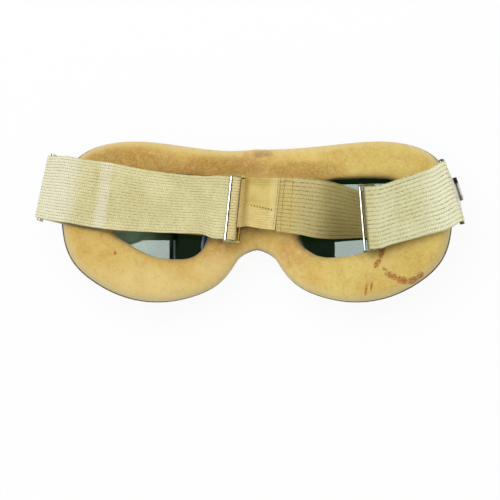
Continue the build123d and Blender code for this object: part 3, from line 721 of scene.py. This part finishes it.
# The cushion's slack: scale along x and y, place in the noise, and height in millimetres
BROAD_WAVE = (0.035, 0.045, 3.1, 0.5)
MIDDLE_WAVE = (0.11, 0.1, 8.4, 0.22)
PUCKER = (0.45, 0.12, 1.7, 0.35)
PUCKER_X, PUCKER_REACH = 3.7, 24
# How an opening's edge is drawn to its places: sectors, reach, fade into the cushion, and the
# height where it starts and over which it grows
SECTORS = 90
SHAPE_REACH = 60 * MM
EDGE_FADE = 9 * MM
EDGE_FOOT, EDGE_GROWTH = 9 * MM, 8 * MM
MOST_INWARD = 2.6 * MM
WIDE_GAP, GAP_SHIFT = 0.7, -0.4 * MM
CRISP_REACH = 6 * MM
CRISP_FOOT, CRISP_GROWTH = 20 * MM, 6 * MM
# How the brow edge is lifted over the nose
LIFT = 1.7 * MM
LIFT_X, LIFT_REACH = 14 * MM, 27 * MM
LIFT_FOOT, LIFT_GROWTH = 19 * MM, 14 * MM


def joined(names, name):
    """One new object with the meshes of several CAD nodes."""
    mesh = bmesh.new()
    for node in names:
        mesh.from_mesh(nodes[node].data)
    data = bpy.data.meshes.new(name)
    mesh.to_mesh(data)
    mesh.free()
    return add_object(name, data)


def remeshed(obj, voxel, rounds):
    """Makes one even skin of an object's pieces, and smooths it."""
    step = obj.modifiers.new("voxels", "REMESH")
    step.mode = "VOXEL"
    step.voxel_size = voxel
    ease = obj.modifiers.new("ease", "SMOOTH")
    ease.factor = 0.5
    ease.iterations = rounds
    graph = bpy.context.evaluated_depsgraph_get()
    data = bpy.data.meshes.new_from_object(obj.evaluated_get(graph))
    obj.modifiers.clear()
    obj.data = data
    data.polygons.foreach_set("use_smooth", [True] * len(data.polygons))
    return obj


def climb(values, start, span):
    """0 up to a start, then evenly up to 1 over a span."""
    return np.clip((values - start) / span, 0, 1)


def eased(share):
    return share * share * (3 - 2 * share)


def slack(p, wave):
    """The height of one wave of the cushion's slack at a point, in millimetres."""
    scale_x, scale_y, place, height = wave
    return noise.noise(Vector((p.x * scale_x, p.y * scale_y, place))) * height


def pad_shape(obj):
    """Gives the cushion the slack of old chamois: broad waves, and small puckers at the nose."""
    co, no = read_points(obj), read_points(obj, "normal")
    for i in range(len(co)):
        p = Vector(co[i]) * 1000
        upper = min(1.0, max(0.0, (no[i][2] - 0.1) / 0.5))
        bridge = math.exp(-(((p.x - PUCKER_X) / PUCKER_REACH) ** 2))
        height = slack(p, BROAD_WAVE) + slack(p, MIDDLE_WAVE) + slack(p, PUCKER) * bridge
        co[i] += no[i] * height * upper * MM
    write_points(obj, co)


def opening_shape(obj, middle, edge, crisp=0.0, room=2.0):
    """Draws the cushion's edge round an opening to the places it shows at in the picture, by up
    to some room in millimetres. The brow side's edge can be made crisper."""
    co = read_points(obj)
    centre = np.array(spot(*middle, PAD_FACE))
    aims = np.array([np.array(spot(x, y, PAD_FACE)) - centre for x, y in edge])
    away = co[:, :2] - centre[:2]
    near = np.linalg.norm(away, axis=1)
    angle = np.arctan2(away[:, 1], away[:, 0])
    cell = ((angle + math.pi) / FULL_TURN * SECTORS).astype(int) % SECTORS
    wall = [near[(cell == i) & (near < SHAPE_REACH)].min() for i in range(SECTORS)]
    wall = (np.roll(wall, 1) + np.array(wall) * 2 + np.roll(wall, -1)) / 4
    middles = (np.arange(SECTORS) + 0.5) / SECTORS * FULL_TURN - math.pi

    def wall_at(a):
        return np.interp(a, middles, wall, period=FULL_TURN)

    aim_angle = np.arctan2(aims[:, 1], aims[:, 0])
    shift = np.linalg.norm(aims[:, :2], axis=1) - wall_at(aim_angle)
    order = np.argsort(aim_angle)
    aim_angle, shift = aim_angle[order], np.clip(shift[order], -MOST_INWARD, room * MM)
    gaps = np.diff(np.concatenate([aim_angle, [aim_angle[0] + FULL_TURN]]))
    for i in np.nonzero(gaps > WIDE_GAP)[0]:
        fill = aim_angle[i] + gaps[i] / 2
        aim_angle, shift = np.append(aim_angle, fill), np.append(shift, GAP_SHIFT)
    order = np.argsort(aim_angle)
    move = np.interp(angle, aim_angle[order], shift[order], period=FULL_TURN)
    fade = eased(1 - climb(near, wall_at(angle), EDGE_FADE))
    fade = fade * climb(co[:, 2], EDGE_FOOT, EDGE_GROWTH)
    fade[near > SHAPE_REACH] = 0
    past = np.clip(near + move * fade - wall_at(angle) - move, 0, CRISP_REACH)
    brow = climb(np.sin(angle), 0.3, 0.35) * climb(co[:, 2], CRISP_FOOT, CRISP_GROWTH)
    pull = past * (1 - past / CRISP_REACH) * crisp * brow
    co[:, :2] += away / near[:, None] * (move * fade - pull)[:, None]
    write_points(obj, co)


def brow_lift(obj):
    """Draws the brow edge over the nose up to where it shows in the picture."""
    co = read_points(obj)
    lift = LIFT * np.exp(-(((co[:, 0] - LIFT_X) / LIFT_REACH) ** 2))
    co[:, 1] += lift * eased(climb(co[:, 1], LIFT_FOOT, LIFT_GROWTH))
    write_points(obj, co)


def rim_highlight_share(obj):
    """Keeps how far each point faces away from its eye, for the highlight painted along the rim."""
    co, no = read_points(obj), read_points(obj, "normal")
    eye = np.where(co[:, 0] < HINGE_X, LEFT_EYE_X, RIGHT_EYE_X)
    out = co[:, :2] - np.stack([eye, np.zeros(len(co))], axis=1)
    out /= np.linalg.norm(out, axis=1)[:, None]
    attribute(obj, "rim", np.clip((out * no[:, :2]).sum(axis=1), 0, 1))


LEFT_EDGE = (
    *((112, 231), (120, 238.3), (131, 245), (140, 250.5), (150, 255), (160, 258), (170, 259)),
    *((180, 258.8), (190, 257), (198, 252.5), (203, 247), (206, 240)),
)
RIGHT_EDGE = (
    *((299, 237), (304, 246), (312, 252), (323, 256), (335, 257), (347, 256.3), (358, 254)),
    *((368, 251.5), (324, 182.2), (335, 179.6), (350, 178.6), (365, 178.3), (380, 179)),
    (393, 181.4),
)
soft = [f"{side}_pad_{layer}" for side in SIDES for layer in ("facing", "sponge")]
pad = remeshed(joined(soft, "face_pad"), FINE_VOXEL, 14)
opening_shape(pad, (162, 215), LEFT_EDGE)
opening_shape(pad, (350, 215), RIGHT_EDGE, crisp=0.85, room=3.4)
brow_lift(pad)
pad_shape(pad)
rest_place(pad)
rim_highlight_share(pad)
finish_piece(pad, "chamois")
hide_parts(*soft)
backing_nodes = [f"{side}_pad_backing" for side in SIDES]
backing = remeshed(joined(backing_nodes, "pad_backing"), BACKING_VOXEL, 3)
brow_lift(backing)
rest_place(backing)
finish_piece(backing, "backing")
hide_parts(*backing_nodes)
for piece in (pad, backing):
    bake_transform(piece)


# ---- head strap ----
def stations(rows, rise):
    """Edge points from rows of brow-edge pixel, cheek-edge pixel, and extra millimetres of rise,
    one for both edges or one each."""
    high, low = [], []
    for x1, y1, x2, y2, *extra in rows:
        lifts = (extra or [0.0])[0], (extra or [0.0])[-1]
        for edge, x, y, lift in ((high, x1, y1, lifts[0]), (low, x2, y2, lifts[1])):
            guess = spot(x, y, STRAP_FACE)
            edge.append(spot(x, y, level(guess.x) + (rise(guess.x) + lift) * MM))
    return high, low


def fold_rows(where, path):
    """Edge points of webbing that follows a path of along and up, in millimetres, round a bar."""
    centre, along, bar, up = where
    mid = [centre + along * (a * MM) + up * (h * MM) for a, h in path]
    return [p + bar * WEB_HALF for p in mid], [p - bar * WEB_HALF for p in mid]


def half_turn(radius, count):
    """A path over a bar from its underside to its top, in millimetres."""
    angles = np.linspace(0, math.pi, count)
    return [(radius * math.sin(t), -radius * math.cos(t)) for t in angles]


def rising(side, start, span, first, gain):
    """A layer's rise over the level, in millimetres: even up to a start, then changing over a
    span towards the temple."""
    return lambda x: first + gain * min(1.0, max(0.0, (side * x / MM - start) / span))


def even(rise):
    """The same rise over the level all along."""
    return lambda x: rise


turn = half_turn(1.4, 13)
back_turn = [(-a, -h) for a, h in turn]
left_path = [(-6.4, -1.4), (-4.0, -1.42), (-2.0, -1.4), *turn, (-1.2, 1.38), (-2.3, 1.3)]
right_path = [(4.9, 1.36), (3.4, 1.46), (2.0, 1.4), *back_turn, (1.2, -1.38), (2.3, -1.3)]
wrap_path = half_turn(1.45, 11)
left_wrap = fold_rows(LEFT_LOOP, wrap_path)
right_wrap = fold_rows(RIGHT_LOOP, wrap_path[::-1])
left_rise = rising(-1, 14, 74, 2.1, 1.4)
right_rise = rising(1, 66, 26, 4.9, -1.4)
under_rise = even(0.6)


def strip(name, material, parts, node, slot="elastic_webbing", thickness=WEB_THICKNESS, **settings):
    """A ribbon through several sets of edge points, standing for a CAD node."""
    high = [p for part in parts for p in part[0]]
    low = [p for part in parts for p in part[1]]
    obj = ribbon(name, high, low, thickness, **settings)
    finish_piece(obj, material)
    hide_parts(node)
    return obj


left_seam = (113, 163, 104, 228.9, 0.3)
left_under = ((112, 163.5, 105, 231.2), (90, 160.5, 84, 228.2), (70, 158, 58, 223.1))
left_over = (
    (66, 156.1, 52, 220.6, 0.3),
    (81, 158.6, 68, 222.8, 0.5),
    (97, 160.8, 87, 226.4, 0.5),
    left_seam,
)
left_turn = strip(
    "left_strap_turn",
    "left_web",
    [stations(left_under, under_rise), left_wrap, stations(left_over, left_rise)],
    "left_webbing_bend",
    step=0.8 * MM,
    seed=3.0,
)
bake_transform(left_turn)
left_rows = (
    left_seam,
    (128, 166.2, 121, 230.4, 0.2),
    (144, 169.4, 138, 231.6, 0.1),
    (166, 172.6, 161, 232.6),
    (188, 175, 183, 233.4),
    (206, 175.9, 201, 234.1),
)
left_top = strip(
    "left_strap_top",
    "left_web",
    [stations(left_rows, left_rise), fold_rows(LEFT_SLIDE, [(-10.0, -1.4), (-6.4, -1.4)])],
    "left_webbing_top",
    after="left_strap_turn",
    seed=1.0,
)
left_fold = strip(
    "left_strap_fold",
    "left_web",
    [fold_rows(LEFT_SLIDE, left_path)],
    "left_webbing_end",
    after="left_strap_top",
    step=0.5 * MM,
    seed=2.0,
)
left_run_rows = (
    (112, 163.5, 105, 231.2),
    (160, 172, 155, 232),
    (205, 175, 200, 235),
    (231, 177, 226, 236),
    (246, 178, 243, 229.8, -0.2),
    (262, 179, 259, 231.0, -0.3),
)
left_run = strip(
    "left_strap_run",
    "shaded_run_web",
    [stations(left_run_rows, under_rise)],
    "left_webbing_run",
    seed=4.0,
)
right_run_rows = (
    (277, 177, 276, 231.5),
    (300, 178.2, 299, 234.5),
    (315, 179.3, 314, 237.6, -0.3, -4.5),
    (330, 181.6, 330, 239, -0.8, -13.0),
    (345, 185.8, 345, 238.8, -2.0, -20.0),
    (360, 191, 361, 238.0, -2.8, -21.0),
    (373, 190, 375, 239.0, -2.0, -13.5),
    (390, 186, 392, 240, -0.8, -1.5),
    (408, 180, 416, 238, -0.4),
)
right_run = strip(
    "right_strap_run",
    "band_web",
    [stations(right_run_rows, under_rise)],
    "right_webbing_run",
    seed=5.0,
)
right_fold = strip(
    "right_strap_fold",
    "right_web",
    [fold_rows(RIGHT_SLIDE, right_path[::-1])],
    "right_webbing_end",
    step=0.5 * MM,
    seed=7.0,
)
right_seam = (422, 171.4, 427.2, 234.6, 0.2)
right_rows = (
    (380.6, 185.0, 385.4, 246.9),
    (386, 183.4, 390, 245.0),
    (402, 178.0, 409, 240.0, 0.1),
    right_seam,
)
right_top = strip(
    "right_strap_top",
    "right_web",
    [fold_rows(RIGHT_SLIDE, [(4.9, 1.36)]), stations(right_rows, right_rise)],
    "right_webbing_top",
    after="right_strap_fold",
    seed=6.0,
)
right_turn = strip(
    "right_strap_turn",
    "right_web",
    [
        stations([right_seam, (432, 167.6, 446, 229.4)], right_rise),
        right_wrap,
        stations([(430, 170, 444, 231), (408, 180, 416, 238)], under_rise),
    ],
    "right_webbing_bend",
    after="right_strap_top",
    step=0.8 * MM,
    seed=8.0,
)
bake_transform(right_turn)

slide, along, bar, up = LEFT_SLIDE
tape_start = [slide + along * (a * MM) + up * (h * MM) for a, h in ((2.2, 1.35), (3.6, 1.45))]
tape_edges = [p + bar * 15.2 * MM for p in tape_start], [p - bar * 9.3 * MM for p in tape_start]
tape_rows = (
    (249, 177.3, 247, 226.5, 0.6),
    (262, 178, 259, 228.4),
    (272, 178, 268, 229.6),
    (280.5, 178, 274.5, 230.2),
)
centre_tape = strip(
    "centre_tape_join",
    "tape",
    [tape_edges, stations(tape_rows, even(1.8))],
    "centre_tape",
    slot="join_tape",
    thickness=TAPE_THICKNESS,
    seed=9.0,
)

RINGS, RING_POINTS = 7, 8


def stitches(name, ends, rise, count, colour="thread", radius=0.22 * MM, fill=0.62):
    """A row of short thread stitches between points in the picture, lying on the webbing."""
    line = [spot(x, y, level(spot(x, y, STRAP_FACE).x) + rise * MM) for x, y in ends]
    lengths = np.cumsum([0] + [(b - a).length for a, b in zip(line, line[1:])])
    verts, faces = [], []

    def at(d):
        for k in range(len(line) - 1):
            if d <= lengths[k + 1] or k == len(line) - 2:
                return line[k].lerp(line[k + 1], (d - lengths[k]) / (lengths[k + 1] - lengths[k]))

    pitch = lengths[-1] / count
    for i in range(count):
        a, b = at(pitch * i), at(pitch * (i + fill))
        side = (b - a).normalized().cross(Vector((0, 0, 1))).normalized()
        base = len(verts)
        for t in np.linspace(0, 1, RINGS):
            swell = math.sin(math.pi * (0.12 + 0.76 * t)) * radius
            mid = a.lerp(b, t) + Vector((0, 0, radius * (1.5 * math.sin(math.pi * t) - 0.6)))
            for q in range(RING_POINTS):
                turned = FULL_TURN * q / RING_POINTS
                high = Vector((0, 0, math.sin(turned) * swell))
                verts.append(mid + side * (math.cos(turned) * swell) + high)
        for r in range(RINGS - 1):
            first = base + r * RING_POINTS
            for q in range(RING_POINTS):
                k, m = first + q, first + (q + 1) % RING_POINTS
                faces.append((k, m, m + RING_POINTS, k + RING_POINTS))
        faces.append(tuple(base + q for q in reversed(range(RING_POINTS))))
        faces.append(tuple(base + (RINGS - 1) * RING_POINTS + q for q in range(RING_POINTS)))
    return finish_piece(new_object(name, verts, faces), colour)


tape_line = [(251, 205.2), (262, 207.4), (273.6, 210.4)]
tape_end = [(278.6, 180), (277.5, 192), (272.8, 228.5)]
seams = [
    stitches("tape_stitches", tape_line, 2.45, 8, "dark_thread", 0.34 * MM, 0.4),
    stitches("join_stitches_a", [(285, 179.5), (283.6, 192), (280.4, 231)], 1.22, 24),
    stitches("join_stitches_b", [(293.5, 180.5), (292, 193), (289.5, 232.5)], 1.22, 24),
    stitches("join_stitches_c", [(285.2, 180.5), (293.5, 181.4)], 1.22, 4),
    stitches("join_stitches_d", [(280.6, 230.4), (289.6, 231.8)], 1.22, 4),
    stitches("tape_edge_stitches", tape_end, 2.36, 24, radius=0.18 * MM),
]
for piece in (left_run, right_run, centre_tape, *seams):
    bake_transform(piece)
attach(left_fold, "left_slide")
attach(right_fold, "right_slide")


# ---- the strap tops, with meshes of their own, attached to the eye pieces ----
def shrink_with(obj):
    """Gives the webbing between a slide and its loop a mesh of its own."""
    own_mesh(obj)


shrink_with(left_top)
shrink_with(right_top)
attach(left_top, "left_eye")
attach(right_top, "right_eye")


# ---- floor, light and camera ----
FLOOR_REACH = 6
CARD_HEIGHT = 175.0


def flat_square(name, one, other, height):
    """A flat object between two corners. It faces down where the first is the brow-side one."""
    (x1, y1), (x2, y2) = one, other
    corners = [(x1, y1, height), (x2, y1, height), (x2, y2, height), (x1, y2, height)]
    return new_object(name, corners, [(0, 1, 2, 3)])


def floor():
    """A pale floor, white to the camera, in mirrors and through glass, and clear from below."""
    obj = flat_square("floor", (-FLOOR_REACH, -FLOOR_REACH), (FLOOR_REACH, FLOOR_REACH), 0)
    s = Shade("floor_white", rough=0.9, Specular_IOR_Level=0.0)
    s.colour((0.95, 0.95, 0.95, 1))
    path = s.node("ShaderNodeLightPath").outputs
    seen = s.most(path["Is Camera Ray"], path["Is Glossy Ray"])
    seen = s.most(seen, path["Is Transmission Ray"])
    glow = s.node("ShaderNodeEmission", {"Color": (1, 1, 1, 1), "Strength": 1.0}).outputs[0]
    above = s.mix_shader(s.times(seen, 0.93), s.bsdf.outputs[0], glow)
    below = s.node("ShaderNodeNewGeometry").outputs["Backfacing"]
    s.show(s.mix_shader(below, above, s.node("ShaderNodeBsdfTransparent").outputs[0]))
    obj.data.materials.append(s.material)


def soft_card(name, one, other, height, strength):
    """A lit panel that only glossy surfaces see, for the window-like reflection in the lenses."""
    obj = flat_square(name, Vector(one) * MM, Vector(other) * MM, height * MM)
    s = Shade(name)
    glossy = s.node("ShaderNodeLightPath").outputs["Is Glossy Ray"]
    inputs = {"Color": (0.86, 1.0, 0.95, 1), "Strength": strength}
    glow = s.node("ShaderNodeEmission", inputs).outputs[0]
    s.show(s.mix_shader(glossy, s.node("ShaderNodeBsdfTransparent").outputs[0], glow))
    obj.data.materials.append(s.material)


def sky():
    """White where it is seen, and darker overhead for what the lenses mirror."""
    world = bpy.data.worlds.new("studio")
    bpy.context.scene.world = world
    world.use_nodes = True
    tree = world.node_tree
    tree.nodes.clear()

    def node(kind, inputs, **settings):
        made = tree.nodes.new("ShaderNode" + kind)
        for key, value in settings.items():
            setattr(made, key, value)
        for key, value in inputs.items():
            if isinstance(value, bpy.types.NodeSocket):
                tree.links.new(value, made.inputs[key])
            else:
                made.inputs[key].default_value = value
        return made.outputs

    path = node("LightPath", {})
    height = node("SeparateXYZ", {0: node("TexCoord", {})["Generated"]})[2]
    overhead = node("MapRange", {0: height, 1: 0.35, 2: 0.75, 3: 1.0, 4: 0.12})[0]
    rays = {0: path["Is Camera Ray"], 1: path["Is Transmission Ray"]}
    seen = node("Math", rays, operation="MAXIMUM")[0]
    white = node("Background", {1: 1.0})[0]
    plain = node("Background", {1: 0.7})[0]
    room = node("Background", {1: overhead})[0]
    lit = node("MixShader", {0: path["Is Glossy Ray"], 1: plain, 2: room})[0]
    node("OutputWorld", {0: node("MixShader", {0: seen, 1: lit, 2: white})[0]})


def lamp(name, place, aim, size, power):
    """A soft square lamp that mirrors don't show."""
    data = bpy.data.lights.new(name, "AREA")
    data.shape = "SQUARE"
    data.size = size
    data.energy = power
    obj = add_object(name, data)
    obj.location = place
    obj.rotation_mode = "QUATERNION"
    obj.rotation_quaternion = (Vector(aim) - Vector(place)).to_track_quat("-Z", "Y")
    obj.visible_glossy = False


def camera():
    data = bpy.data.cameras.new("camera")
    data.sensor_width = SENSOR
    data.lens = SENSOR * DISTANCE * SCALE / PICTURE
    data.clip_start = 0.1
    data.clip_end = 100
    obj = add_object("camera", data)
    obj.location = TARGET + BACK * DISTANCE
    obj.rotation_mode = "QUATERNION"
    obj.rotation_quaternion = (-BACK).to_track_quat("-Z", "Y")
    bpy.context.scene.camera = obj


floor()
sky()
soft_card("window_card", (-30, 90), (50, -75), CARD_HEIGHT, 12.0)
soft_card("window_edge", (-37.6, 90), (-35.6, -75), CARD_HEIGHT, 2.2)
lamp("key_lamp", (-0.35, 0.45, 1.3), (0, 0, 0), 0.9, 10.0)
camera()
bpy.context.scene.view_settings.view_transform = "Standard"
